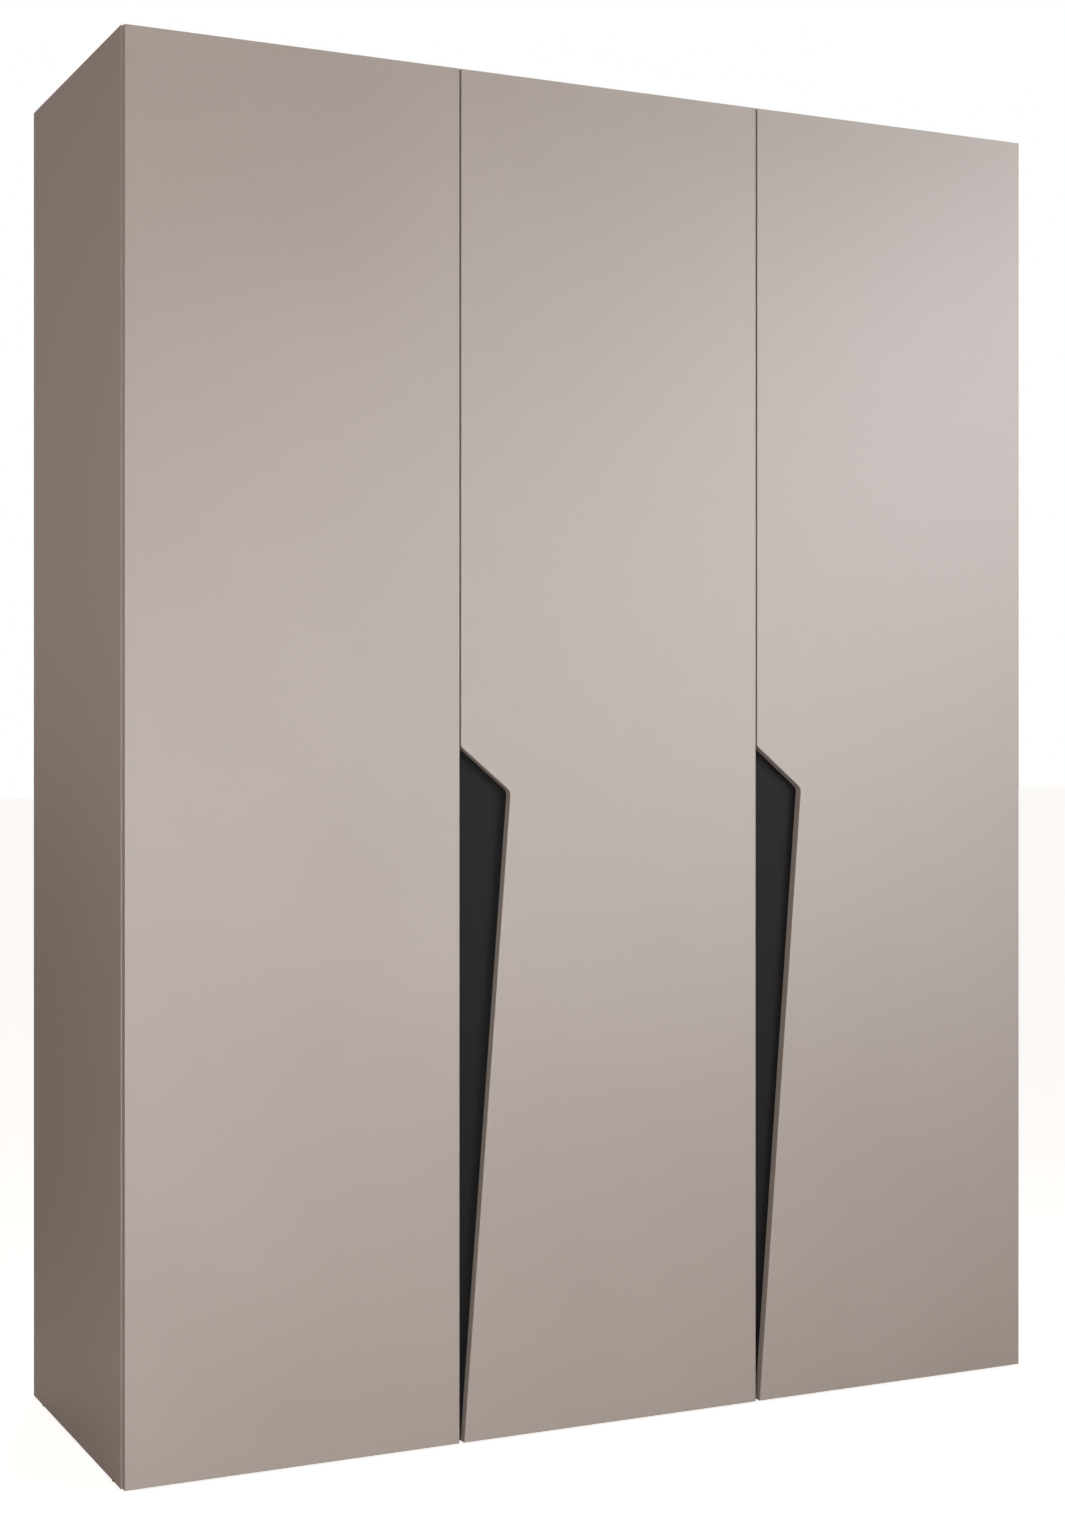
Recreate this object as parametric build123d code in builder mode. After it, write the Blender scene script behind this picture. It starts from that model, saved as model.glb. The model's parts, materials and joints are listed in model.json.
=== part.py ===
from build123d import *
import os

# Three-door wardrobe: a board carcass on floor glides, a wide hanging compartment, a narrow shelf
# compartment, and three full-height overlay doors on concealed hinges.
# Millimetres. +X right, +Y back, +Z up. Origin on the floor, at the centre of the footprint.

os.makedirs("parts", exist_ok=True)

# Overall size
width = 1800
height = 2400
depth = 610

# Boards
board = 19
leaf = 19
back_sheet = 3
glide_height = 3
toe_height = 80
groove_depth = 7
groove_width = 4

# Gaps round the doors
door_gap = 3
side_reveal = 1
bottom_reveal = 3
top_reveal = 4
seal_gap = 2

# Grip cut-out in a door's left edge, from that edge and from the door's bottom edge
grip_top = 1211
grip_corner_x = 95.4
grip_corner_z = 1132
grip_foot_x = 6.1
grip_corner_radius = 14
grip_start_radius = 6
door_edge_radius = 1
side_edge_radius = 0.5
grip_screw_bore = 1.4
grip_screw_head = 2.6
grip_plate_thickness = 2
grip_plate_margin = 16

# Concealed hinge, measured from the door's hinge edge (x) and from the door's front face (y).
# The link turns 45 degrees about the arm pivot while the door turns 105 degrees the other way.
hinge_heights = [130, 665, 1200, 1735, 2270]
arm_pivot = (30.6, 29.5)
cup_pivot = (11.1, 15.4)
link_knee = (22.0, 9.4)
cup_centre = 21.5
cup_radius = 17.4
cup_wall = 0.8
cup_depth = 13.9
hinge_pin_radius = 1.2
hinge_play = 0.05
link_half_height = 3.5
link_half_width = 2.5
cheek_inner = 3.8
cheek_outer = 5.3
arm_half_width = 3.2
plate_line = 58

# Shelves, hanging rail and fasteners
shelf_levels = [463, 847, 1260, 1600, 1980]
fixed_shelf_level = 1260
hat_shelf_level = 2005
rail_drop = 55
rail_width = 15
rail_height = 30
rail_wall = 1.2
shelf_setback = 20
hole_pitch = 32
hole_clearance = 0.1

# Planes worked out from the sizes above
left_out = -width / 2
right_out = width / 2
left_in = left_out + board
right_in = right_out - board
front = -depth / 2
back = depth / 2
door_back = front + leaf
carcass_front = door_back + seal_gap
bottom_low = toe_height
bottom_high = bottom_low + board
top_low = height - board
module = width / 3
wall_x = left_out + 2 * module
wall_left = wall_x - board / 2
wall_right = wall_x + board / 2
rail_board_front = back - board
rail_board_low = top_low - 100
groove_front = back - 13
door_low = glide_height + bottom_reveal
door_high = height - top_reveal

cam_radius = 7.5
cam_depth = 12.5
cam_offset = 34
bolt_radius = 3
dowel_radius = 4
dowel_length = 30
dowel_depth = 12
bolt_depth = 11
peg_radius = 2.5
peg_length = 17
peg_depth = 9
glide_radius = 9
glide_pin_radius = 2
glide_pin_length = 10
plate_thickness = 2.4
plate_screw_rise = 16
plate_screw_radius = 2.2
screw_head = 1.6
through = 20

cams = []
bolts = []
dowels = []
pegs = []
glide_pins = []
peg_holes = []

line_rows = (carcass_front + 50, 240)
dowel_rows = (carcass_front + 90, 200)


def block(x_range, y_range, z_range, mode=Mode.ADD):
    """A box between three pairs of planes, in the active part."""
    (x0, x1), (y0, y1), (z0, z1) = x_range, y_range, z_range
    with Locations(((x0 + x1) / 2, (y0 + y1) / 2, (z0 + z1) / 2)):
        Box(x1 - x0, y1 - y0, z1 - z0, mode=mode)


def rod(start, axis, radius, length, mode=Mode.ADD):
    """A cylinder that leaves the start point along an axis, in the active part."""
    with Locations(Plane(origin=start, z_dir=axis)):
        Cylinder(radius, length, align=(Align.CENTER, Align.CENTER, Align.MIN), mode=mode)


def moved(start, axis, distance):
    return tuple(s + a * distance for s, a in zip(start, axis))


def board_joint(face_points, axis, cam_side):
    """Cams, bolts and dowels that pull a board's end against a face.

    Each face point is the middle of the board's thickness; axis runs from the face into the board."""
    for kind, point in face_points:
        if kind == "bolt":
            bolt_reach = bolt_depth + cam_offset - cam_radius - hole_clearance
            bolts.append((moved(point, axis, -bolt_depth), axis, bolt_radius, bolt_reach))
            cam_middle = moved(point, axis, cam_offset)
            cams.append((moved(cam_middle, cam_side, board / 2 - cam_depth), cam_side, cam_radius, cam_depth))
        else:
            dowels.append((moved(point, axis, -dowel_depth), axis, dowel_radius, dowel_length))


def end_points(x, level):
    """Bolt and dowel points at one end of a horizontal board."""
    middle = level + board / 2
    return [("bolt", (x, y, middle)) for y in line_rows] + [("dowel", (x, y, middle)) for y in dowel_rows]


def touches(x_range, y_range, z_range, item):
    """Whether a rod reaches into the box of a board."""
    start, axis, radius, length = item
    end = moved(start, axis, length)
    for (low, high), a, b, along in zip((x_range, y_range, z_range), start, end, axis):
        reach = 0 if along else radius
        if max(a, b) + reach <= low + 0.01 or min(a, b) - reach >= high - 0.01:
            return False
    return True


def cut_fasteners(x_range, y_range, z_range):
    """Bores in the active board for every fastener that reaches into it."""
    for item in cams + bolts + dowels + pegs + glide_pins + peg_holes + plate_screws:
        if touches(x_range, y_range, z_range, item):
            start, axis, radius, length = item
            rod(start, axis, radius + hole_clearance, length, Mode.SUBTRACT)


def save(builder, name):
    builder.part.label = name
    export_step(builder.part, "parts/" + name + ".step")
    print(name, len(builder.part.solids()), round(builder.part.volume / 1000, 1), "cm3")


def save_rods(name, items, clearance=0.0):
    """One node with a separate solid for each fastener."""
    with BuildPart() as group:
        for start, axis, radius, length in items:
            rod(start, axis, radius - clearance, length)
    save(group, name)


right_way = (1, 0, 0)
left_way = (-1, 0, 0)
up_way = (0, 0, 1)
down_way = (0, 0, -1)

# Horizontal boards between the sides, then the boards between a side and the partition
for level in (bottom_low, top_low):
    board_joint(end_points(left_in, level), right_way, down_way)
    board_joint(end_points(right_in, level), left_way, down_way)
board_joint(end_points(left_in, hat_shelf_level), right_way, down_way)
board_joint(end_points(wall_left, hat_shelf_level), left_way, down_way)
board_joint(end_points(wall_right, fixed_shelf_level), right_way, down_way)
board_joint(end_points(right_in, fixed_shelf_level), left_way, down_way)

# The partition's two ends, with its cams in the face towards the shelf compartment
for end_level, way in ((bottom_high, up_way), (top_low, down_way)):
    points = [("bolt", (wall_x, y, end_level)) for y in line_rows]
    points += [("dowel", (wall_x, y, end_level)) for y in dowel_rows]
    board_joint(points, way, right_way)

# Shelf pegs, and the spare holes above and below each one
peg_rows = (carcass_front + 37, 220)
loose_levels = [level for level in shelf_levels if level != fixed_shelf_level]
for level in loose_levels:
    for y in peg_rows:
        peg_z = level - peg_radius - 0.1
        pegs.append(((wall_right - peg_depth, y, peg_z), right_way, peg_radius, peg_length))
        pegs.append(((right_in + peg_depth, y, peg_z), left_way, peg_radius, peg_length))
        for step in (-2, -1, 1, 2):
            hole_z = peg_z + step * hole_pitch
            peg_holes.append(((wall_right - peg_depth, y, hole_z), right_way, peg_radius, peg_depth))
            peg_holes.append(((right_in + peg_depth, y, hole_z), left_way, peg_radius, peg_depth))

# Floor glides under the sides and the plinth boards
plinth_front_y = carcass_front + 20
plinth_rear_y = back - 2 * board
glide_spots = [(x, y) for x in (left_out + board / 2, right_out - board / 2) for y in (-230, 240)]
glide_spots += [(x, plinth_front_y + board / 2) for x in (-450, 0, 620)]
glide_spots += [(x, plinth_rear_y + board / 2) for x in (-450, 0, 620)]
for x, y in glide_spots:
    glide_pins.append(((x, y, glide_height - 0.5), up_way, glide_pin_radius, glide_pin_length))

# One entry for each door: its hinge edge, the way its x axis points, the carcass face that carries
# its hinges, and its free edge
door_left_x = left_out + side_reveal
door_right_x = right_out - side_reveal
joint_one = left_out + module
doors = {
    "left": dict(edge=door_left_x, way=1, face=left_in, free=joint_one - door_gap / 2),
    "middle": dict(edge=wall_x - door_gap / 2, way=-1, face=wall_left, free=joint_one + door_gap / 2),
    "right": dict(edge=door_right_x, way=-1, face=right_in, free=wall_x + door_gap / 2),
}

plate_screws = []
for door in doors.values():
    for z in hinge_heights:
        for dz in (-plate_screw_rise, plate_screw_rise):
            start = (door["face"] + plate_thickness * door["way"], front + plate_line, z + dz)
            plate_screws.append((start, (-door["way"], 0, 0), plate_screw_radius, plate_thickness + 11))

# Side panels, with a groove for the back sheets
for name, x0, x1, groove_x in (
    ("side_left", left_out, left_in, (left_in - groove_depth, left_in)),
    ("side_right", right_in, right_out, (right_in, right_in + groove_depth)),
):
    box = ((x0, x1), (carcass_front, back), (glide_height, height))
    with BuildPart() as side:
        block(*box)
        fillet(side.edges().filter_by(Axis.Z).group_by(Axis.Y)[0], side_edge_radius)
        block(groove_x, (groove_front, groove_front + groove_width), (glide_height, height), Mode.SUBTRACT)
        cut_fasteners(*box)
    save(side, name)

# Partition between the two compartments
box = ((wall_left, wall_right), (carcass_front, back), (bottom_high, top_low))
with BuildPart() as partition:
    block(*box)
    for groove_x in ((wall_left, wall_left + groove_depth), (wall_right - groove_depth, wall_right)):
        block(groove_x, (groove_front, groove_front + groove_width), (bottom_high, top_low), Mode.SUBTRACT)
    cut_fasteners(*box)
save(partition, "partition")

# Top and bottom panels; the bottom one is grooved for the back sheets
box = ((left_in, right_in), (carcass_front, back), (top_low, height))
with BuildPart() as top_panel:
    block(*box)
    cut_fasteners(*box)
save(top_panel, "top_panel")

box = ((left_in, right_in), (carcass_front, back), (bottom_low, bottom_high))
with BuildPart() as bottom_panel:
    block(*box)
    groove = (groove_front, groove_front + groove_width)
    block((left_in, right_in), groove, (bottom_high - groove_depth, bottom_high), Mode.SUBTRACT)
    cut_fasteners(*box)
save(bottom_panel, "bottom_panel")

# Plinth boards under the bottom panel, set back behind the doors
plinth_cross_y = (plinth_front_y + board, plinth_rear_y)
plinth_boards = {
    "plinth_front": ((left_in, right_in), (plinth_front_y, plinth_front_y + board)),
    "plinth_rear": ((left_in, right_in), (plinth_rear_y, plinth_rear_y + board)),
    "plinth_cross": ((wall_left, wall_right), plinth_cross_y),
}
for name, (x_range, y_range) in plinth_boards.items():
    box = (x_range, y_range, (glide_height, bottom_low))
    with BuildPart() as plinth:
        block(*box)
        cut_fasteners(*box)
    save(plinth, name)

# Rear rails under the top panel, each with two holes for wall screws
rail_hole_radius = 3
rail_holes = {"rear_rail_wide": (left_in, wall_left, 900), "rear_rail_narrow": (wall_right, right_in, 400)}
for name, (x0, x1, spacing) in rail_holes.items():
    middle = (x0 + x1) / 2
    hole_z = (rail_board_low + top_low) / 2
    with BuildPart() as rear_rail:
        block((x0, x1), (rail_board_front, back), (rail_board_low, top_low))
        block(
            (x0, x1),
            (groove_front, groove_front + groove_width),
            (rail_board_low, rail_board_low + groove_depth),
            Mode.SUBTRACT,
        )
        for x in (middle - spacing / 2, middle + spacing / 2):
            rod((x, rail_board_front, hole_z), (0, 1, 0), rail_hole_radius, board, Mode.SUBTRACT)
    save(rear_rail, name)

# Back sheets: two in the wide compartment, joined by a strip, and one in the narrow compartment
sheet_y = (groove_front + 0.5, groove_front + 0.5 + back_sheet)
sheet_z = (bottom_high - groove_depth + 0.5, rail_board_low + groove_depth - 0.5)
strip_x = (left_in + wall_left) / 2
sheets = {
    "back_sheet_left": (left_in - groove_depth + 0.5, strip_x - 0.8),
    "back_sheet_centre": (strip_x + 0.8, wall_left + groove_depth - 0.5),
    "back_sheet_right": (wall_right - groove_depth + 0.5, right_in + groove_depth - 0.5),
}
for name, x_range in sheets.items():
    with BuildPart() as sheet:
        block(x_range, sheet_y, sheet_z)
    save(sheet, name)

with BuildPart() as back_joint_strip:
    block((strip_x - 0.6, strip_x + 0.6), (sheet_y[0] - 1.1, sheet_y[1] + 1.1), (bottom_high, rail_board_low))
    for y0 in (sheet_y[0] - 1.1, sheet_y[1] + 0.1):
        block((strip_x - 10, strip_x + 10), (y0, y0 + 1), (bottom_high, rail_board_low))
save(back_joint_strip, "back_joint_strip")

# Hat shelf over the hanging rail, and the shelves of the narrow compartment
shelf_y = (carcass_front + shelf_setback, groove_front - 2)
box = ((left_in, wall_left), shelf_y, (hat_shelf_level, hat_shelf_level + board))
with BuildPart() as hat_shelf:
    block(*box)
    cut_fasteners(*box)
save(hat_shelf, "hat_shelf")

for number, level in enumerate(shelf_levels, start=1):
    play = 0 if level == fixed_shelf_level else 1
    box = ((wall_right + play, right_in - play), shelf_y, (level, level + board))
    with BuildPart() as shelf:
        block(*box)
        cut_fasteners(*box)
    save(shelf, "shelf_" + str(number))

# Hanging rail: an oval tube in two sockets, held at its middle by a hanger under the hat shelf
rail_z = hat_shelf_level - rail_drop
rail_plane = Plane(origin=(left_in, 0, rail_z), x_dir=(0, 0, 1), z_dir=(1, 0, 0))
flange = 3
socket_reach = 14
socket_wall = 2.5
fit = 0.15
wide_gap = wall_left - left_in

with BuildPart() as hanging_rail:
    with BuildSketch(rail_plane.offset(flange)):
        SlotOverall(rail_height, rail_width)
        SlotOverall(rail_height - 2 * rail_wall, rail_width - 2 * rail_wall, mode=Mode.SUBTRACT)
    extrude(amount=wide_gap - 2 * flange)
save(hanging_rail, "hanging_rail")

screw_rise = rail_height / 2 + 10
with BuildPart() as rail_sockets:
    for start, reach in ((0, 1), (wide_gap, -1)):
        with BuildSketch(rail_plane.offset(start)):
            SlotOverall(2 * screw_rise + 16, rail_width + 2 * socket_wall + 2)
            with Locations((screw_rise, 0), (-screw_rise, 0)):
                Circle(2.2, mode=Mode.SUBTRACT)
        extrude(amount=reach * flange)
        with BuildSketch(rail_plane.offset(start + reach * flange)):
            SlotOverall(rail_height + 2 * socket_wall, rail_width + 2 * socket_wall)
            SlotOverall(rail_height + 2 * fit, rail_width + 2 * fit, mode=Mode.SUBTRACT)
        extrude(amount=reach * socket_reach)
save(rail_sockets, "rail_sockets")

hanger_x = strip_x
with BuildPart() as rail_hanger:
    with BuildSketch(rail_plane.offset(hanger_x - left_in - 10)):
        SlotOverall(rail_height + 2 * socket_wall, rail_width + 2 * socket_wall)
        SlotOverall(rail_height + 2 * fit, rail_width + 2 * fit, mode=Mode.SUBTRACT)
    extrude(amount=20)
    hanger_low = rail_z + rail_height / 2 + socket_wall - 0.5
    block((hanger_x - 10, hanger_x + 10), (-2, 2), (hanger_low, hat_shelf_level))
    block((hanger_x - 10, hanger_x + 10), (-25, 25), (hat_shelf_level - 2, hat_shelf_level))
    for y in (-17, 17):
        rod((hanger_x, y, hat_shelf_level - 2), up_way, 2.2, 2, Mode.SUBTRACT)
save(rail_hanger, "rail_hanger")


def screw(start, axis, head_radius, shank_radius, shank_length):
    """A pan-head screw whose head stands on the start point; axis points into the work."""
    rod(start, axis, shank_radius, shank_length)
    rod(moved(start, axis, -screw_head), axis, head_radius, screw_head)


rail_screw_marks = []
for x, way in ((left_in, -1), (wall_left, 1)):
    for z in (rail_z - screw_rise, rail_z + screw_rise):
        rail_screw_marks.append(((x - way * flange, 0, z), (way, 0, 0)))
hanger_screw_marks = [((hanger_x, y, hat_shelf_level - 2), up_way) for y in (-17, 17)]
rail_screw_pieces = rail_screw_marks + hanger_screw_marks
with BuildPart() as rail_screws:
    for start, axis in rail_screw_pieces:
        screw(start, axis, 3.8, 2.0, flange - 0.2 if axis != up_way else 1.8)
save(rail_screws, "rail_screws")

# Fasteners of the carcass
save_rods("cam_locks", cams)
save_rods("cam_bolts", bolts)
save_rods("dowels", dowels)
save_rods("shelf_pegs", pegs)

with BuildPart() as floor_glides:
    for x, y in glide_spots:
        with BuildSketch(Plane.XY):
            with Locations((x, y)):
                Circle(glide_radius)
        extrude(amount=glide_height)
        rod((x, y, glide_height - 0.5), up_way, glide_pin_radius, glide_pin_length)
save(floor_glides, "floor_glides")

# Soft buffer dots on the carcass edges, opposite the free edges and ends of the doors
bumper_thickness = seal_gap - 0.4
bumper_spots = [(x, z) for x in (-310, -290) for z in (bottom_low + 10, door_high - 12)]
bumper_spots += [(wall_right - 4.5, z) for z in (400, 1600)]
with BuildPart() as door_bumpers:
    for x, z in bumper_spots:
        rod((x, carcass_front, z), (0, -1, 0), 4, bumper_thickness)
save(door_bumpers, "door_bumpers")


# Hinge hardware. A door point (x, y) measured from the hinge edge and the front face becomes a
# point of the wardrobe; a mirrored door counts its x the other way.
def place(door, point):
    return (door["edge"] + door["way"] * point[0], front + point[1])


def flat_bar(door, points, half_width, z_low, z_high, mode=Mode.ADD):
    """A bar of even width along straight legs, with round ends, standing between two heights."""
    spots = [place(door, point) for point in points]
    with BuildSketch(Plane.XY.offset(z_low)) as bar:
        for a, b in zip(spots[:-1], spots[1:]):
            along = Vector(b[0] - a[0], b[1] - a[1])
            leg = Plane(origin=((a[0] + b[0]) / 2, (a[1] + b[1]) / 2, 0), x_dir=along, z_dir=(0, 0, 1))
            with Locations(leg):
                SlotCenterToCenter(along.length, 2 * half_width)
    extrude(bar.sketch, amount=z_high - z_low, mode=mode)


def door_block(door, x_range, y_range, z_range, mode=Mode.ADD):
    """A box given in a door's own x and y."""
    xs = sorted(door["edge"] + door["way"] * x for x in x_range)
    block(xs, (front + y_range[0], front + y_range[1]), z_range, mode)


def cheek_ranges(z):
    return ((z - cheek_outer, z - cheek_inner), (z + cheek_inner, z + cheek_outer))


arm_back = 100
arm_body_start = 37
riser_high = arm_pivot[0] - arm_half_width
wing_low = 17.4
wing_high = 27
wing_x = (19, 33)
wing_thickness = 1
cup_screw_rise = 22.5
cup_floor = leaf - cup_depth
lug_x = (6.6, 15.5)

with BuildPart() as hinge_arm_pins:
    for door in doors.values():
        for z in hinge_heights:
            x, y = place(door, arm_pivot)
            rod((x, y, z - cheek_outer), up_way, hinge_pin_radius, 2 * cheek_outer)
save(hinge_arm_pins, "hinge_arm_pins")

with BuildPart() as mounting_plate_screws:
    for (x, y, z), axis, radius, length in plate_screws:
        screw((x, y, z), axis, 3.8, radius, length)
save(mounting_plate_screws, "mounting_plate_screws")

for side_name, door in doors.items():
    face_x = abs(door["face"] - door["edge"])
    plate_top = face_x + plate_thickness

    # Mounting plates screwed to the carcass face, with a riser for the arm
    with BuildPart() as hinge_plates:
        for z in hinge_heights:
            door_block(door, (face_x, plate_top), (plate_line - 14, plate_line + 14), (z - 27, z + 27))
            door_block(door, (plate_top, riser_high), (plate_line - 18, arm_back - 4), (z - 6, z + 6))
            for dz in (-plate_screw_rise, plate_screw_rise):
                x, y = place(door, (face_x, plate_line))
                bore = plate_screw_radius + hole_clearance
                rod((x, y, z + dz), (door["way"], 0, 0), bore, plate_thickness, Mode.SUBTRACT)
    save(hinge_plates, "hinge_plates_" + side_name)

    # Arms: a body on the riser, and two cheeks that carry the arm pin
    with BuildPart() as hinge_arms:
        for z in hinge_heights:
            arm_x = (riser_high, riser_high + 2 * arm_half_width)
            door_block(door, arm_x, (arm_body_start, arm_back), (z - cheek_outer, z + cheek_outer))
            for low, high in cheek_ranges(z):
                flat_bar(door, (arm_pivot, (arm_pivot[0], arm_body_start + 8)), arm_half_width, low, high)
            x, y = place(door, arm_pivot)
            rod((x, y, z - through / 2), up_way, hinge_pin_radius, through, Mode.SUBTRACT)
    save(hinge_arms, "hinge_arms_" + side_name)

    # Links: bent bars that turn on the arm pin and carry the cup pin
    with BuildPart() as hinge_links:
        for z in hinge_heights:
            flat_bar(
                door,
                (arm_pivot, link_knee, cup_pivot),
                link_half_width,
                z - link_half_height,
                z + link_half_height,
            )
            for pivot in (arm_pivot, cup_pivot):
                x, y = place(door, pivot)
                rod((x, y, z - through / 2), up_way, hinge_pin_radius + hinge_play, through, Mode.SUBTRACT)
    save(hinge_links, "hinge_links_" + side_name)

    # Cups let into the door's back, with two lugs for the cup pin and two wings for screws
    cup_x, door_back_y = place(door, (cup_centre, leaf))
    pin_x, pin_y = place(door, cup_pivot)
    with BuildPart() as hinge_cups:
        for z in hinge_heights:
            rod((cup_x, door_back_y, z), (0, -1, 0), cup_radius, cup_depth)
            hollow = cup_radius - cup_wall
            rod((cup_x, door_back_y, z), (0, -1, 0), hollow, cup_depth - cup_wall, Mode.SUBTRACT)
            for low, high in cheek_ranges(z):
                door_block(door, lug_x, (cup_floor + cup_wall / 2, 18.3), (low, high))
            rod((pin_x, pin_y, z - through / 2), up_way, hinge_pin_radius, through, Mode.SUBTRACT)
            for low, high in ((z - wing_high, z - wing_low), (z + wing_low, z + wing_high)):
                door_block(door, wing_x, (leaf, leaf + wing_thickness), (low, high))
            door_block(door, wing_x, (leaf, leaf + wing_thickness), (z - wing_high, z - 12))
            door_block(door, wing_x, (leaf, leaf + wing_thickness), (z + 12, z + wing_high))
            rod((cup_x, door_back_y + 2, z), (0, -1, 0), hollow, 4, Mode.SUBTRACT)
            for dz in (-cup_screw_rise, cup_screw_rise):
                x, y = place(door, (wing_x[0] + 7, leaf + wing_thickness))
                rod((x, y, z + dz), (0, -1, 0), 1.9, wing_thickness, Mode.SUBTRACT)
    save(hinge_cups, "hinge_cups_" + side_name)

    with BuildPart() as cup_pins:
        for z in hinge_heights:
            rod((pin_x, pin_y, z - cheek_outer), up_way, hinge_pin_radius, 2 * cheek_outer)
    save(cup_pins, "cup_pins_" + side_name)

    screw_x, screw_y = place(door, (wing_x[0] + 7, leaf + wing_thickness))
    cup_screw_spots = [(screw_x, z + dz) for z in hinge_heights for dz in (-cup_screw_rise, cup_screw_rise)]
    with BuildPart() as cup_screws:
        for x, z in cup_screw_spots:
            screw((x, screw_y, z), (0, -1, 0), 3.2, 1.8, 12)
    save(cup_screws, "cup_screws_" + side_name)

    # Door leaf, with bores for the cups and a grip cut-out backed by a dark plate
    low_x, high_x = sorted((door["edge"], door["free"]))
    grip_screw_spots = []
    with BuildPart() as leaf_part:
        block((low_x, high_x), (front, door_back), (door_low, door_high))
        for z in hinge_heights:
            bore = cup_radius + hole_clearance
            rod((cup_x, door_back, z), (0, -1, 0), bore, cup_depth + hole_clearance, Mode.SUBTRACT)
        for x, z in cup_screw_spots:
            rod((x, door_back, z), (0, -1, 0), 1.9, 11.2, Mode.SUBTRACT)
        if side_name != "left":
            outline = [(-20, -20), (grip_foot_x, -20), (grip_foot_x, 0), (grip_corner_x, grip_corner_z)]
            outline += [(0, grip_top), (-20, grip_top)]
            face = Plane(origin=(low_x, front, door_low), x_dir=(1, 0, 0), z_dir=(0, -1, 0))
            with BuildSketch(face) as grip:
                with BuildLine():
                    Polyline(*outline, close=True)
                make_face()
                fillet(grip.vertices().sort_by(Axis.X)[-1], grip_corner_radius)
            extrude(amount=-leaf, mode=Mode.SUBTRACT)
            grip_start = (low_x, front, door_low + grip_top)
            fillet(leaf_part.edges().filter_by(Axis.Y).sort_by_distance(grip_start)[0], grip_start_radius)
            margin = grip_plate_margin
            plate_corners = [(0, 0), (grip_foot_x + margin, 0), (grip_corner_x + margin, grip_corner_z)]
            plate_corners += [(margin, grip_top + margin), (0, grip_top + margin)]
            slant = grip_corner_x - grip_foot_x
            screw_line = low_x + grip_foot_x + margin / 2
            for rise in (0.02, 0.26, 0.5, 0.74, 0.98):
                grip_screw_spots.append((screw_line + rise * slant, door_low + rise * grip_corner_z))
            grip_screw_spots.append((low_x + margin / 2, door_low + grip_top + margin / 2))
            with BuildSketch(face.offset(-(leaf - grip_plate_thickness))):
                with BuildLine():
                    Polyline(*plate_corners, close=True)
                make_face()
            extrude(amount=-grip_plate_thickness, mode=Mode.SUBTRACT)
            for x, z in grip_screw_spots:
                rod((x, door_back, z), (0, -1, 0), grip_screw_bore, 10, Mode.SUBTRACT)
        fillet(leaf_part.faces().sort_by(Axis.Y)[0].edges(), door_edge_radius)
    save(leaf_part, "door_" + side_name)

    if grip_screw_spots:
        with BuildPart() as grip_plate:
            with BuildSketch(face.offset(-(leaf - grip_plate_thickness))):
                with BuildLine():
                    Polyline(*plate_corners, close=True)
                make_face()
            extrude(amount=-grip_plate_thickness)
            for x, z in grip_screw_spots:
                rod((x, door_back, z), (0, -1, 0), grip_screw_bore, 10, Mode.SUBTRACT)
        save(grip_plate, "grip_plate_" + side_name)

        with BuildPart() as grip_screws:
            for x, z in grip_screw_spots:
                rod((x, door_back, z), (0, -1, 0), grip_screw_bore - hole_clearance, 9.5)
                rod((x, door_back, z), (0, 1, 0), grip_screw_head, 0.7)
        save(grip_screws, "grip_screws_" + side_name)
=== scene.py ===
import bpy
import bmesh
import json
import math
from mathutils import Matrix, Vector


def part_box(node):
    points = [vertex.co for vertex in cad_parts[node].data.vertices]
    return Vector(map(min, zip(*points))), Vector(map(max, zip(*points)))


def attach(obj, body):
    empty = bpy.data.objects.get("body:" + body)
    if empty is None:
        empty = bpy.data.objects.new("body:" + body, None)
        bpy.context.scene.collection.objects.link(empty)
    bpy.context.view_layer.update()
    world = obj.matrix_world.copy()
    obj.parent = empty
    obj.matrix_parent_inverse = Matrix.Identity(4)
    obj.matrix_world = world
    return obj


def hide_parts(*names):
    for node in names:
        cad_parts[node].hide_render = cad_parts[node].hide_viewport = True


# Three-door wardrobe in taupe satin lacquer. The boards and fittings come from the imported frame;
# this script rounds their edges, adds the trim and the small hardware, and gives every surface its finish.

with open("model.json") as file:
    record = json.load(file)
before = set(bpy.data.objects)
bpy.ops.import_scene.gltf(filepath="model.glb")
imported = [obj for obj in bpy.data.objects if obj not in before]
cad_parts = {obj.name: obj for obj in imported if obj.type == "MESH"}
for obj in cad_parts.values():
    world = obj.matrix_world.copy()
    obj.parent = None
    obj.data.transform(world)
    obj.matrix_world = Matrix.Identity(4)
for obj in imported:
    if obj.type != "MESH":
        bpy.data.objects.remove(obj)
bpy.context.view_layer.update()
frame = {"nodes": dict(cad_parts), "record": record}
nodes = frame["nodes"]
slotOf = {part["node"]: part["material_slot"] for part in frame["record"]["subparts"]}
bodyOf = {node: body for body, members in frame["record"]["behaviour"]["bodies"].items() for node in members}
mm = 0.001
up = Vector((0, 0, 1))
scene = bpy.context.scene


# Colour and node helpers

def linear(hexColour):
    values = [int(hexColour[i:i + 2], 16) / 255 for i in (1, 3, 5)]
    return tuple(v / 12.92 if v <= 0.04045 else ((v + 0.055) / 1.055) ** 2.4 for v in values) + (1.0,)


def addNode(tree, kind, values=None, links=None, **settings):
    node = tree.nodes.new(kind)
    for name, value in settings.items():
        setattr(node, name, value)
    for socket, value in (values or {}).items():
        node.inputs[socket].default_value = value
    for socket, source in (links or {}).items():
        tree.links.new(source, node.inputs[socket])
    return node


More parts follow.
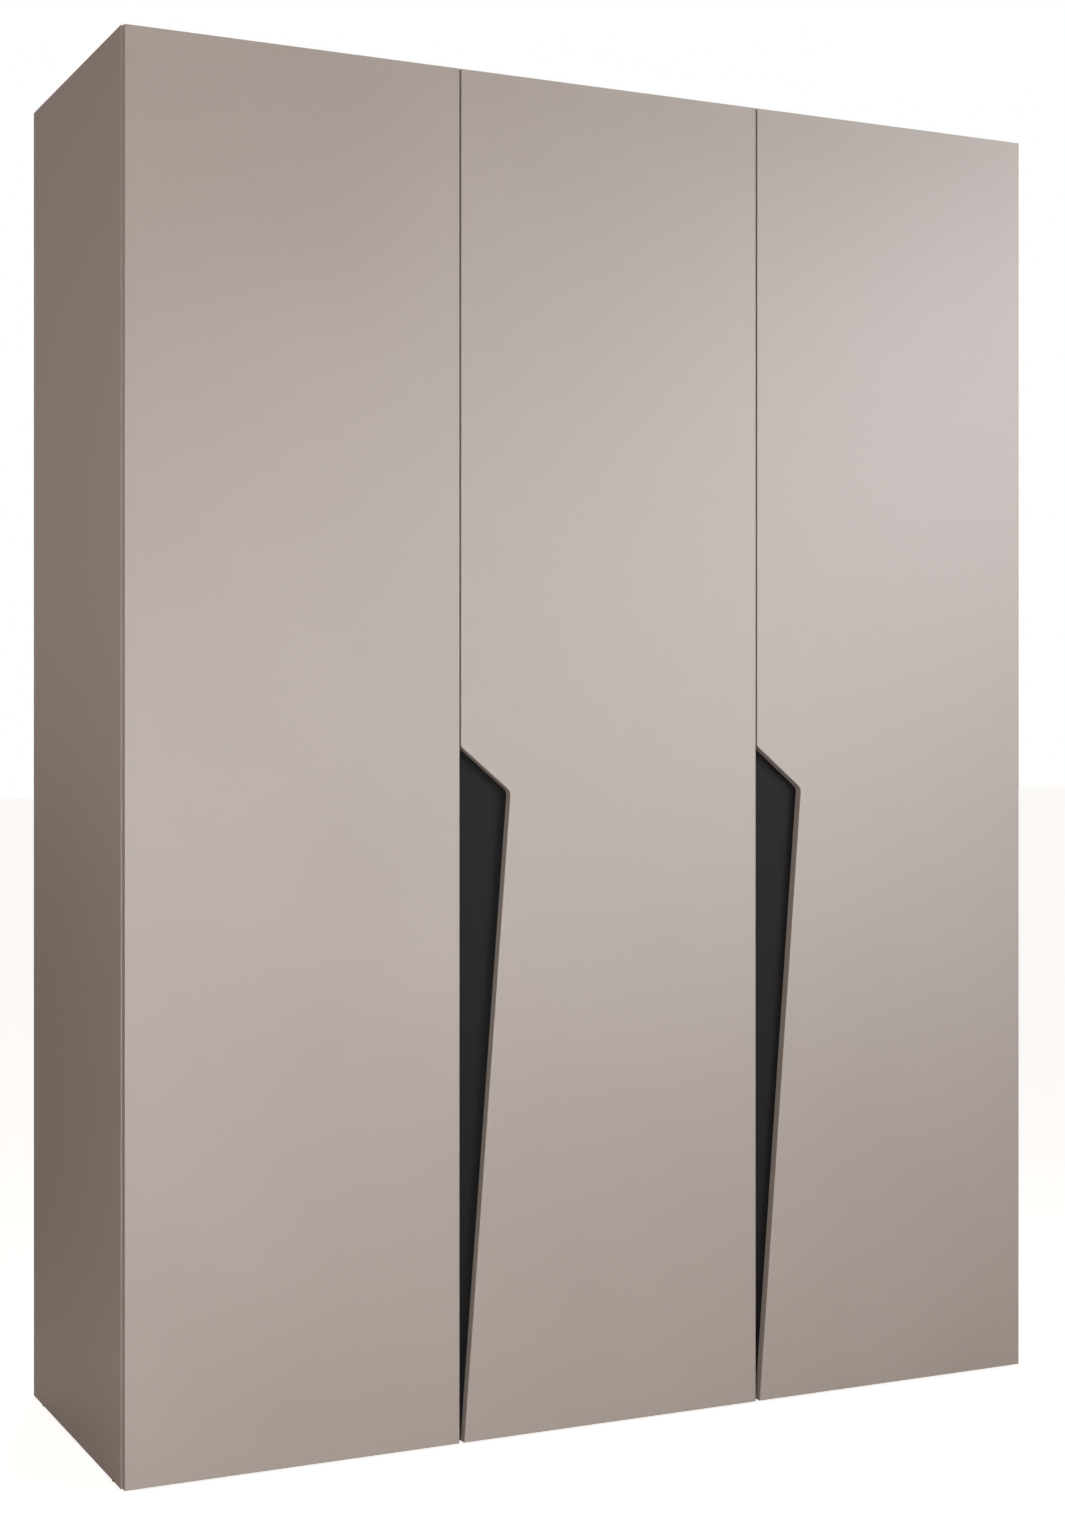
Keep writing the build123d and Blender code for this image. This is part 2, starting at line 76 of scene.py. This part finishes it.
def startMaterial(name, settings):
    material = bpy.data.materials.new(name)
    material.use_nodes = True
    tree = material.node_tree
    shader = tree.nodes["Principled BSDF"]
    for socket, value in settings.items():
        shader.inputs[socket].default_value = value
    return material, tree, shader


# How strongly each kind of pattern shows: where its dark and light shades sit in it, the part of it
# that drives the roughness, and the strength of the bump
contrast = {
    "lacquer": {"shades": (0.3, 0.7), "gloss": (0.3, 0.7), "bump": 0.6},
    "grain": {"shades": (0.35, 0.65), "gloss": (0.3, 0.7), "bump": 0.5},
    "weave": {"shades": (0.2, 0.85), "gloss": (0.0, 1.0), "bump": 0.35},
    "metal": {"shades": (0.35, 0.65), "gloss": (0.3, 0.7), "bump": 0.4},
}


def finishSurface(tree, shader, look, show, tone, sheen, height):
    # Colour from the tone pattern, roughness from the sheen pattern, relief from the height pattern
    shades = addNode(tree, "ShaderNodeValToRGB", links={"Fac": tone})
    for stop, level, colour in zip(shades.color_ramp.elements, show["shades"], (look["dark"], look["light"])):
        stop.position, stop.color = level, linear(colour)
    gloss = addNode(
        tree, "ShaderNodeMapRange",
        {"From Min": show["gloss"][0], "From Max": show["gloss"][1],
         "To Min": look["roughness"][0], "To Max": look["roughness"][1]}, {"Value": sheen})
    bump = addNode(
        tree, "ShaderNodeBump", {"Strength": show["bump"], "Distance": look["relief"]}, {"Height": height})
    tree.links.new(shades.outputs["Color"], shader.inputs["Base Color"])
    tree.links.new(gloss.outputs["Result"], shader.inputs["Roughness"])
    tree.links.new(bump.outputs["Normal"], shader.inputs["Normal"])


# In every look, roughness runs from the pattern's dark shade to its light one.

# Sprayed satin polyurethane lacquer on MDF: an even taupe skin with a soft sheen, a very faint orange
# peel of about 2 mm, and slight cloudiness where the spray passes overlap.
satinLacquer = {
    "light": "#a2978f",
    "dark": "#9e938b",
    "roughness": (0.40, 0.46),
    "cloudSize": 450 * mm,
    "peelSize": 2.2 * mm,
    "relief": 0.012 * mm,
    "ior": 1.48,
    "coat": 0.8,
    "coatRoughness": 0.4,
}


def makeLacquer(name, look):
    material, tree, shader = startMaterial(
        name, {"IOR": look["ior"], "Coat Weight": look["coat"], "Coat Roughness": look["coatRoughness"]})
    place = addNode(tree, "ShaderNodeTexCoord").outputs["Object"]
    cloud = addNode(
        tree, "ShaderNodeTexNoise", {"Scale": 1 / look["cloudSize"], "Detail": 3}, {"Vector": place})
    peel = addNode(
        tree, "ShaderNodeTexNoise", {"Scale": 1 / look["peelSize"], "Detail": 2}, {"Vector": place})
    finishSurface(
        tree, shader, look, contrast["lacquer"],
        cloud.outputs["Fac"], cloud.outputs["Fac"], peel.outputs["Fac"])
    return material


# Melamine facing pressed on chipboard: matt, with a fine woven emboss that breaks up the light.
# Real threads are about 0.6 mm apart; they are drawn at 3 mm so that they show.
melamine = {"light": "#b3a79c", "dark": "#a3978c", "roughness": (0.50, 0.62),
            "thread": 3 * mm, "blotch": 25 * mm, "relief": 0.04 * mm}
# The same facing on the plinth boards, painted darker to stand for the shade where they stand back near the
# floor.
shadedPlinthMelamine = dict(melamine, light="#8d8178", dark="#80756c")


def makeWoven(name, look):
    material, tree, shader = startMaterial(name, {"IOR": 1.5})
    place = addNode(tree, "ShaderNodeTexCoord").outputs["Object"]
    heights = []
    for direction in ("X", "Y", "Z"):
        wave = addNode(  # a wave's bands are pi / 10 apart at scale 1
            tree, "ShaderNodeTexWave",
            {"Scale": math.pi / 10 / look["thread"], "Distortion": 0.6, "Detail": 1, "Detail Scale": 0.3},
            {"Vector": place}, bands_direction=direction)
        heights.append(wave.outputs["Fac"])
    pair = addNode(tree, "ShaderNodeMath", links={0: heights[0], 1: heights[1]}, operation="MAXIMUM")
    weave = addNode(tree, "ShaderNodeMath", links={0: pair.outputs[0], 1: heights[2]}, operation="MAXIMUM")
    blotch = addNode(
        tree, "ShaderNodeTexNoise", {"Scale": 1 / look["blotch"], "Detail": 3}, {"Vector": place})
    threads = addNode(tree, "ShaderNodeMath", {1: 0.7}, {0: weave.outputs[0]}, operation="MULTIPLY")
    mixed = addNode(
        tree, "ShaderNodeMath", {1: 0.3}, {0: blotch.outputs["Fac"], 2: threads.outputs[0]},
        operation="MULTIPLY_ADD")
    finishSurface(
        tree, shader, look, contrast["weave"], mixed.outputs[0], weave.outputs[0], weave.outputs[0])
    return material


# Printed hardboard: flat, with short upright fibres, a shade darker than the boards.
hardboard = {"light": "#a89c91", "dark": "#9b9085", "roughness": (0.62, 0.75),
             "grain": 5 * mm, "stretch": (1, 1, 0.3), "relief": 0.05 * mm}
# Pressed black laminate behind the grips: near black, dull, with a fine grain of about 0.8 mm,
# drawn at 1.5 mm so that it shows.
gripLaminate = {"light": "#131110", "dark": "#0c0b0a", "roughness": (0.5, 0.62),
                "grain": 1.5 * mm, "relief": 0.05 * mm, "specular": 0.2}
# Extruded ABS edge band: a little smoother and lighter than the facing, so a board's front edge reads
# as a clean line.
edgeBand = {"light": "#b2a69d", "dark": "#aca096", "roughness": (0.38, 0.46),
            "grain": 1.2 * mm, "relief": 0.02 * mm}
# Moulded polypropylene, spark-eroded in the tool: a dull black with a fine speckle.
mouldedBlack = {"light": "#1d1d1d", "dark": "#141414", "roughness": (0.45, 0.6),
                "grain": 0.8 * mm, "relief": 0.03 * mm}
# Extruded PVC strip: the boards' taupe with a slight gloss.
mouldedTaupe = {"light": "#a99d92", "dark": "#9c9086", "roughness": (0.4, 0.55),
                "grain": 1.0 * mm, "relief": 0.03 * mm}
# Cast polyurethane buffer dots: milky and smooth.
bufferRubber = {"light": "#d2cfca", "dark": "#bfbcb6", "roughness": (0.25, 0.4),
                "grain": 1.0 * mm, "relief": 0.02 * mm}
# Turned beech: warm, dry wood with its grain along the dowel.
beech = {"light": "#c9a274", "dark": "#a67e50", "roughness": (0.55, 0.7),
         "grain": 2.0 * mm, "stretch": (0.15, 1, 1), "relief": 0.05 * mm}


def makeGrained(name, look):
    material, tree, shader = startMaterial(
        name, {"IOR": 1.5, "Specular IOR Level": look.get("specular", 0.5)})
    place = addNode(tree, "ShaderNodeTexCoord").outputs["Object"]
    mapping = addNode(tree, "ShaderNodeMapping", {"Scale": look.get("stretch", (1, 1, 1))}, {"Vector": place})
    grain = addNode(
        tree, "ShaderNodeTexNoise", {"Scale": 1 / look["grain"], "Detail": 4, "Roughness": 0.6},
        {"Vector": mapping.outputs["Vector"]})
    finishSurface(
        tree, shader, look, contrast["grain"],
        grain.outputs["Fac"], grain.outputs["Fac"], grain.outputs["Fac"])
    return material


# Polished chrome plate on drawn tube: near mirror, with broad faint polishing waves.
chromePlate = {"light": "#d6d7da", "dark": "#c4c6ca", "roughness": (0.14, 0.07),
               "mark": 30 * mm, "relief": 0.001 * mm}
# Nickel plate on pressed steel: a warm grey shine, a little uneven, with handling marks.
nickelPlate = {"light": "#c9c5bf", "dark": "#b3afa8", "roughness": (0.34, 0.24),
               "mark": 6 * mm, "relief": 0.002 * mm}
# Zinc plate on rolled screws: a cool, cloudy grey.
zincPlate = {"light": "#c3c6c9", "dark": "#a0a4a8", "roughness": (0.42, 0.28),
             "mark": 2 * mm, "relief": 0.001 * mm}
# Die-cast zinc, left bare: dull grey with a slightly pitted skin.
castZinc = {"light": "#aeaeaa", "dark": "#94948f", "roughness": (0.56, 0.42),
            "mark": 1.2 * mm, "relief": 0.006 * mm}


def makeMetal(name, look):
    material, tree, shader = startMaterial(name, {"Metallic": 1.0})
    place = addNode(tree, "ShaderNodeTexCoord").outputs["Object"]
    marks = addNode(tree, "ShaderNodeTexNoise", {"Scale": 1 / look["mark"], "Detail": 4}, {"Vector": place})
    finishSurface(
        tree, shader, look, contrast["metal"],
        marks.outputs["Fac"], marks.outputs["Fac"], marks.outputs["Fac"])
    return material


finishes = {
    "door_lacquer": makeLacquer("doorSatinLacquer", satinLacquer),
    "carcass_lacquer": makeLacquer("sideSatinLacquer", satinLacquer),
    "interior_melamine": makeWoven("wovenMelamine", melamine),
    # the plinth's finish is the woven facing with painted shade, darker than on the boards
    "plinth_melamine": makeWoven("shadedPlinthMelamine", shadedPlinthMelamine),
    "back_hardboard": makeGrained("printedHardboard", hardboard),
    "joint_strip_plastic": makeGrained("mouldedTaupeStrip", mouldedTaupe),
    "rail_chrome": makeMetal("chromePlatedTube", chromePlate),
    "socket_zinc": makeMetal("castZincSocket", castZinc),
    "screw_steel": makeMetal("zincPlatedScrew", zincPlate),
    "cam_zinc": makeMetal("castZincCam", castZinc),
    "dowel_beech": makeGrained("turnedBeech", beech),
    "peg_steel": makeMetal("nickelPlatedPeg", nickelPlate),
    "glide_plastic": makeGrained("mouldedBlackGlide", mouldedBlack),
    "bumper_rubber": makeGrained("bufferRubber", bufferRubber),
    "hinge_steel": makeMetal("nickelPlatedSteel", nickelPlate),
    "grip_laminate": makeGrained("blackGripLaminate", gripLaminate),
}
bandFinish = makeGrained("absEdgeBand", edgeBand)
for name, node in nodes.items():
    node.data.materials.clear()
    node.data.materials.append(finishes[slotOf[name]])
print("materials made")


def finishPiece(name, bm, node, finish=None, replaced=True):
    # A piece takes its body, slot and finish from a node, and stands for it unless it is only added to it
    mesh = bpy.data.meshes.new(name)
    bm.to_mesh(mesh)
    bm.free()
    mesh.materials.append(finish or finishes[slotOf[node]])
    piece = bpy.data.objects.new(name, mesh)
    scene.collection.objects.link(piece)
    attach(piece, bodyOf[node])
    if replaced:
        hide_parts(node)


# Rounded copies: a copy of a node's mesh is merged, its flat faces joined, and its sharp edges bevelled.
# Angles are in degrees.
shelves = ["shelf_" + str(number) for number in range(1, 6)]
merging = {"gap": 0.002 * mm, "flatAngle": 0.5, "sharpAngle": 35, "slit": 3 * mm, "slitPasses": 2}
softEdges = {
    "door": {"width": 0.8 * mm, "segments": 3, "smoothBelow": 0},
    "board": {"width": 0.5 * mm, "segments": 2, "smoothBelow": 0},
    "fitting": {"width": 0.35 * mm, "segments": 2, "smoothBelow": 26},
    "small": {"width": 0.2 * mm, "segments": 1, "smoothBelow": 26},
}
softNodes = {
    "door": ["door_left", "door_middle", "door_right"],
    "board": ["side_left", "side_right", "partition", "top_panel", "bottom_panel", "hat_shelf",
              "rear_rail_wide", "rear_rail_narrow", "plinth_front", "plinth_rear", "plinth_cross"] + shelves,
    "fitting": ["hinge_arms_left", "hinge_arms_middle", "hinge_arms_right",
                "hinge_plates_left", "hinge_plates_middle", "hinge_plates_right",
                "hinge_links_left", "hinge_links_middle", "hinge_links_right",
                "rail_sockets", "rail_hanger", "floor_glides", "door_bumpers"],
    "small": ["grip_plate_middle", "grip_plate_right", "hinge_cups_left", "hinge_cups_middle",
              "hinge_cups_right", "hanging_rail", "shelf_pegs", "back_joint_strip"],
}


def mergedCopy(node):
    bm = bmesh.new()
    bm.from_mesh(nodes[node].data)
    bmesh.ops.remove_doubles(bm, verts=bm.verts, dist=merging["gap"])
    return bm


def softenNode(name, edge):
    bm = mergedCopy(name)
    bmesh.ops.dissolve_limit(
        bm, angle_limit=math.radians(merging["flatAngle"]), use_dissolve_boundaries=False,
        verts=bm.verts, edges=bm.edges)
    sharpAngle = math.radians(merging["sharpAngle"])
    sharp = [e for e in bm.edges if len(e.link_faces) == 2 and e.calc_face_angle(0) > sharpAngle]
    bmesh.ops.bevel(
        bm, geom=sharp, offset=edge["width"], offset_type="OFFSET", affect="EDGES",
        segments=edge["segments"], profile=0.5, material=-1, clamp_overlap=True)
    for attempt in range(merging["slitPasses"]):  # closes the slits left where a bolt hole grazes a bore
        torn = [v for v in bm.verts if any(len(e.link_faces) != 2 for e in v.link_edges)]
        bmesh.ops.remove_doubles(bm, verts=torn, dist=merging["slit"])
    for face in bm.faces:
        face.smooth = edge["smoothBelow"] > 0
    for item in bm.edges:
        item.smooth = item.calc_face_angle(0) < math.radians(edge["smoothBelow"])
    finishPiece(name + "_rounded", bm, name)


for kind, names in softNodes.items():
    for name in names:
        softenNode(name, softEdges[kind])
print("edges rounded")

# Edge bands on the front edges of the boards, pressed a little into the board
band = {"thickness": 0.4 * mm, "inset": 0.6 * mm, "sunk": 0.1 * mm, "bevel": 0.15 * mm}
banded = ["side_left", "side_right", "partition", "top_panel", "bottom_panel", "hat_shelf"] + shelves


def addBand(name, node):
    low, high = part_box(node)
    margin = 2 * band["inset"]
    size = Vector((high.x - low.x - margin, band["thickness"], high.z - low.z - margin))
    middle = Vector((
        (low.x + high.x) / 2, low.y - band["thickness"] / 2 + band["sunk"], (low.z + high.z) / 2))
    bm = bmesh.new()
    bmesh.ops.create_cube(bm, size=1)
    bmesh.ops.scale(bm, vec=size, verts=bm.verts)
    bmesh.ops.bevel(
        bm, geom=bm.edges[:], offset=band["bevel"], affect="EDGES", segments=2, profile=0.5, material=-1)
    bmesh.ops.translate(bm, vec=middle, verts=bm.verts)
    finishPiece(name, bm, node, bandFinish, replaced=False)


for node in banded:
    addBand("edge_band_" + node, node)
print("edge bands added")


# Small hardware. Each node's mesh is split into its separate solids, whose boxes say where a piece goes.

def solidBoxes(node):
    bm = mergedCopy(node)
    bm.verts.index_update()
    seen = set()
    boxes = []
    for first in bm.verts:
        if first.index in seen:
            continue
        seen.add(first.index)
        waiting, points = [first], []
        while waiting:
            here = waiting.pop()
            points.append(here.co.copy())
            for edge in here.link_edges:
                other = edge.other_vert(here)
                if other.index not in seen:
                    seen.add(other.index)
                    waiting.append(other)
        low = Vector([min(point[axis] for point in points) for axis in range(3)])
        high = Vector([max(point[axis] for point in points) for axis in range(3)])
        boxes.append((low, high))
    bm.free()
    return boxes


# The driver recess, in shares of its radius; a point within wingAngle degrees of an axis is in a wing
recess = {"inset": 0.34, "wing": 0.58, "waist": 0.24, "wingAngle": 12, "taper": 0.7}


def pressCross(bm, radius, depth):
    # A four-winged driver recess in the top face, which lies at height zero
    top = max(bm.faces, key=lambda face: (
        round(face.calc_center_median().z, 6), face.normal.z, face.calc_area()))
    bmesh.ops.inset_region(bm, faces=[top], thickness=radius * recess["inset"], depth=0)
    for vert in top.verts:
        quarter = math.degrees(math.atan2(vert.co.y, vert.co.x)) % 90
        inWing = min(quarter, 90 - quarter) < recess["wingAngle"]
        reach = radius * (recess["wing"] if inWing else recess["waist"])
        flat = Vector((vert.co.x, vert.co.y, 0)).normalized() * reach
        vert.co.x, vert.co.y = flat.x, flat.y
    pressed = bmesh.ops.extrude_face_region(bm, geom=[top])
    floorVerts = [item for item in pressed["geom"] if isinstance(item, bmesh.types.BMVert)]
    bmesh.ops.translate(bm, vec=(0, 0, -depth), verts=floorVerts)
    bmesh.ops.scale(bm, vec=(recess["taper"], recess["taper"], 1), verts=floorVerts)
    if top.is_valid:
        bmesh.ops.delete(bm, geom=[top], context="FACES_ONLY")


# Radii and lengths in millimetres. A screw with no direction of its own gets it from its box.
cupScrew = {"head": 3.2, "height": 1.6, "shank": 1.8, "out": (0, 1, 0)}
gripScrew = {"head": 2.6, "height": 0.7, "shank": 1.3, "out": (0, 1, 0)}
screwLooks = {
    "cup_screws_left": cupScrew,
    "cup_screws_middle": cupScrew,
    "cup_screws_right": cupScrew,
    "grip_screws_middle": gripScrew,
    "grip_screws_right": gripScrew,
    "mounting_plate_screws": {"head": 3.8, "height": 1.6, "shank": 2.2, "out": None},
    "rail_screws": {"head": 3.8, "height": 1.6, "shank": 2.0, "out": None},
}
# A screw's shape, in shares of its own head and shank
screwShape = {"crown": 0.86, "rounding": 0.3, "cross": 0.8, "crossDepth": 0.7, "point": 0.35}


def screwTemplate(look, length):
    radius, height, shank = look["head"] * mm, look["height"] * mm, look["shank"] * mm
    bm = bmesh.new()
    bmesh.ops.create_cone(
        bm, cap_ends=True, segments=16, radius1=radius, radius2=radius * screwShape["crown"], depth=height)
    bmesh.ops.translate(bm, vec=(0, 0, -height / 2), verts=bm.verts)
    rim = [e for e in bm.edges if all(v.co.z > -0.01 * mm for v in e.verts)]
    bmesh.ops.bevel(
        bm, geom=rim, offset=height * screwShape["rounding"], affect="EDGES", segments=2, profile=0.5,
        material=-1)
    pressCross(bm, radius * screwShape["cross"], height * screwShape["crossDepth"])
    stem = bmesh.ops.create_cone(
        bm, cap_ends=True, segments=12, radius1=shank * screwShape["point"], radius2=shank,
        depth=length - height)
    bmesh.ops.translate(bm, vec=(0, 0, -height - (length - height) / 2), verts=stem["verts"])
    template = bpy.data.meshes.new("screwTemplate")
    bm.to_mesh(template)
    bm.free()
    return template


def scatter(name, template, spots, node, replaced=True):
    bm = bmesh.new()
    for place, out in spots:
        start = len(bm.verts)
        bm.from_mesh(template)
        bm.verts.ensure_lookup_table()
        turn = up.rotation_difference(Vector(out)).to_matrix().to_4x4()
        bmesh.ops.transform(bm, matrix=Matrix.Translation(place) @ turn, verts=bm.verts[start:])
    bpy.data.meshes.remove(template)
    finishPiece(name, bm, node, replaced=replaced)


def outerPoint(low, high, out):
    middle = (low + high) / 2
    return Vector([(high[i] if out[i] > 0 else low[i]) if out[i] else middle[i] for i in range(3)])


def boxDirection(low, high):
    # A screw that is shorter across than deep faces down; others in the left side face right, the rest left
    if high.x - low.x < high.y - low.y:
        return (0, 0, -1)
    return (1, 0, 0) if low.x < -0.5 else (-1, 0, 0)


for node, look in screwLooks.items():
    spots = []
    length = 0
    for low, high in solidBoxes(node):
        out = look["out"] or boxDirection(low, high)
        length = max(length, abs((high - low).dot(Vector(out))))
        spots.append((outerPoint(low, high, out), out))
    scatter(node + "_crossed", screwTemplate(look, length), spots, node)

# Two adjusting screws on the open face of each hinge arm, in millimetres from its front end
adjusterLook = {"head": 2.2, "height": 0.9, "shank": 1.2, "length": 3.0, "rows": (20, 44)}
for door in ("left", "middle", "right"):
    out = Vector((1, 0, 0)) if door == "left" else Vector((-1, 0, 0))
    spots = []
    for low, high in solidBoxes("hinge_arms_" + door):
        face = outerPoint(low, high, out) + out * adjusterLook["height"] * mm
        for row in adjusterLook["rows"]:
            spots.append((Vector((face.x, low.y + row * mm, face.z)), out))
    scatter("adjusting_screws_" + door, screwTemplate(adjusterLook, adjusterLook["length"] * mm), spots,
            "mounting_plate_screws", replaced=False)

# Cam locks, with rounded rims and a deep cross; their boxes give their size
camLook = {"segments": 32, "rim": 0.5 * mm, "cross": 0.8, "crossDepth": 3.5 * mm}


def camTemplate(radius, height):
    bm = bmesh.new()
    bmesh.ops.create_cone(
        bm, cap_ends=True, segments=camLook["segments"], radius1=radius, radius2=radius, depth=height)
    bmesh.ops.translate(bm, vec=(0, 0, -height / 2), verts=bm.verts)
    rims = [e for e in bm.edges if abs(e.verts[0].co.z - e.verts[1].co.z) < 0.01 * mm]
    bmesh.ops.bevel(
        bm, geom=rims, offset=camLook["rim"], affect="EDGES", segments=2, profile=0.5, material=-1)
    pressCross(bm, radius * camLook["cross"], camLook["crossDepth"])
    template = bpy.data.meshes.new("camTemplate")
    bm.to_mesh(template)
    bm.free()
    return template


camBoxes = solidBoxes("cam_locks")
camSize = sorted(camBoxes[0][1] - camBoxes[0][0])
camSpots = []
for low, high in camBoxes:
    out = (1, 0, 0) if high.x - low.x < high.z - low.z else (0, 0, -1)
    camSpots.append((outerPoint(low, high, out), out))
scatter("cam_locks_slotted", camTemplate(camSize[2] / 2, camSize[0]), camSpots, "cam_locks")
print("small hardware made")

# Camera, level, at chest height and well to the left of the wardrobe
view = {"place": (-1.936, -3.941, 1.238), "tilt": 90, "turn": -24.862, "lens": 54.18, "sensor": 36,
        "shift": (0.0306, -0.0179)}
camera = bpy.data.objects.new("camera", bpy.data.cameras.new("camera"))
camera.data.lens = view["lens"]
camera.data.sensor_width = view["sensor"]
camera.data.shift_x, camera.data.shift_y = view["shift"]
camera.location = view["place"]
camera.rotation_euler = (math.radians(view["tilt"]), 0, math.radians(view["turn"]))
scene.collection.objects.link(camera)
scene.camera = camera

# Painted concrete floor: an even, dull pale taupe. It is lifted towards white for camera rays only.
floorLook = {"size": 40, "colour": "#c9bdb2", "roughness": 0.9, "lift": 0.85, "liftColour": "#ffffff"}
floorBm = bmesh.new()
bmesh.ops.create_grid(floorBm, x_segments=2, y_segments=2, size=floorLook["size"])
floorMesh = bpy.data.meshes.new("studioFloor")
floorBm.to_mesh(floorMesh)
floorBm.free()
studioFloor = bpy.data.objects.new("studioFloor", floorMesh)
scene.collection.objects.link(studioFloor)
floorMaterial, floorTree, floorShader = startMaterial(
    "paintedFloor", {"Base Color": linear(floorLook["colour"]), "Roughness": floorLook["roughness"],
                     "Emission Color": linear(floorLook["liftColour"])})
floorPath = addNode(floorTree, "ShaderNodeLightPath")
floorLift = addNode(
    floorTree, "ShaderNodeMath", {1: floorLook["lift"]}, {0: floorPath.outputs["Is Camera Ray"]},
    operation="MULTIPLY")
floorTree.links.new(floorLift.outputs[0], floorShader.inputs["Emission Strength"])
floorMesh.materials.append(floorMaterial)

# Soft light: a warm room all round, dimmer overhead and white to camera rays, with cool softboxes in front
sky = {"horizon": "#aea29a", "zenith": "#464340", "levels": (0.15, 0.9), "seen": "#ffffff"}
world = bpy.data.worlds.new("studioSky")
scene.world = world
world.use_nodes = True
skyTree = world.node_tree
skyPlace = addNode(skyTree, "ShaderNodeTexCoord")
skySplit = addNode(skyTree, "ShaderNodeSeparateXYZ", links={"Vector": skyPlace.outputs["Generated"]})
skyShades = addNode(skyTree, "ShaderNodeValToRGB", links={"Fac": skySplit.outputs["Z"]})
for stop, level, colour in zip(skyShades.color_ramp.elements, sky["levels"], (sky["horizon"], sky["zenith"])):
    stop.position, stop.color = level, linear(colour)
skyShader = skyTree.nodes["Background"]
skyTree.links.new(skyShades.outputs["Color"], skyShader.inputs["Color"])
skyPath = addNode(skyTree, "ShaderNodeLightPath")
whiteSky = addNode(skyTree, "ShaderNodeBackground", {"Color": linear(sky["seen"])})
skyMix = addNode(
    skyTree, "ShaderNodeMixShader",
    links={0: skyPath.outputs["Is Camera Ray"], 1: skyShader.outputs[0], 2: whiteSky.outputs[0]})
skyTree.links.new(skyMix.outputs[0], skyTree.nodes["World Output"].inputs["Surface"])

# Places, targets and sizes in metres, power in watts, spread in degrees
softboxes = {
    "keyLight": {"place": (3.1, -4.8, 1.65), "target": (0.3, -0.3, 1.45), "size": (2.6, 2.8),
                 "power": 45, "spread": 120, "colour": "#f8fbff"},
    "topRightLight": {"place": (5.6, -5.0, 3.4), "target": (0.0, -0.3, 2.0), "size": (2.4, 1.8),
                      "power": 14, "spread": 50, "colour": "#f8fbff"},
    "lowFill": {"place": (-2.0, -4.8, 0.9), "target": (-0.9, -0.3, 0.9), "size": (1.8, 1.4),
                "power": 15, "spread": 60, "colour": "#e9f3ff"},
    "leftFill": {"place": (-3.4, -4.0, 1.2), "target": (-0.9, 0.0, 1.2), "size": (1.6, 1.6),
                 "power": 61, "spread": 180, "colour": "#fff5ec"},
    "backFill": {"place": (1.2, 4.0, 2.6), "target": (0.1, 0.3, 1.5), "size": (2.0, 1.6),
                 "power": 16, "spread": 55, "colour": "#fffaf5"},
    "topFill": {"place": (0.1, 0.3, 4.4), "target": (0.0, 0.1, 2.4), "size": (1.6, 0.6),
                "power": 4, "spread": 80, "colour": "#fffaf5"},
}


def addSoftbox(name, box):
    light = bpy.data.lights.new(name, "AREA")
    light.shape = "RECTANGLE"
    light.size, light.size_y = box["size"]
    light.spread = math.radians(box["spread"])
    light.energy = box["power"]
    light.color = linear(box["colour"])[:3]
    lamp = bpy.data.objects.new(name, light)
    lamp.location = box["place"]
    aim = Vector(box["target"]) - Vector(box["place"])
    lamp.rotation_euler = aim.to_track_quat("-Z", "Y").to_euler()
    scene.collection.objects.link(lamp)


for name, box in softboxes.items():
    addSoftbox(name, box)
scene.view_settings.view_transform = "Standard"
print("stage set")
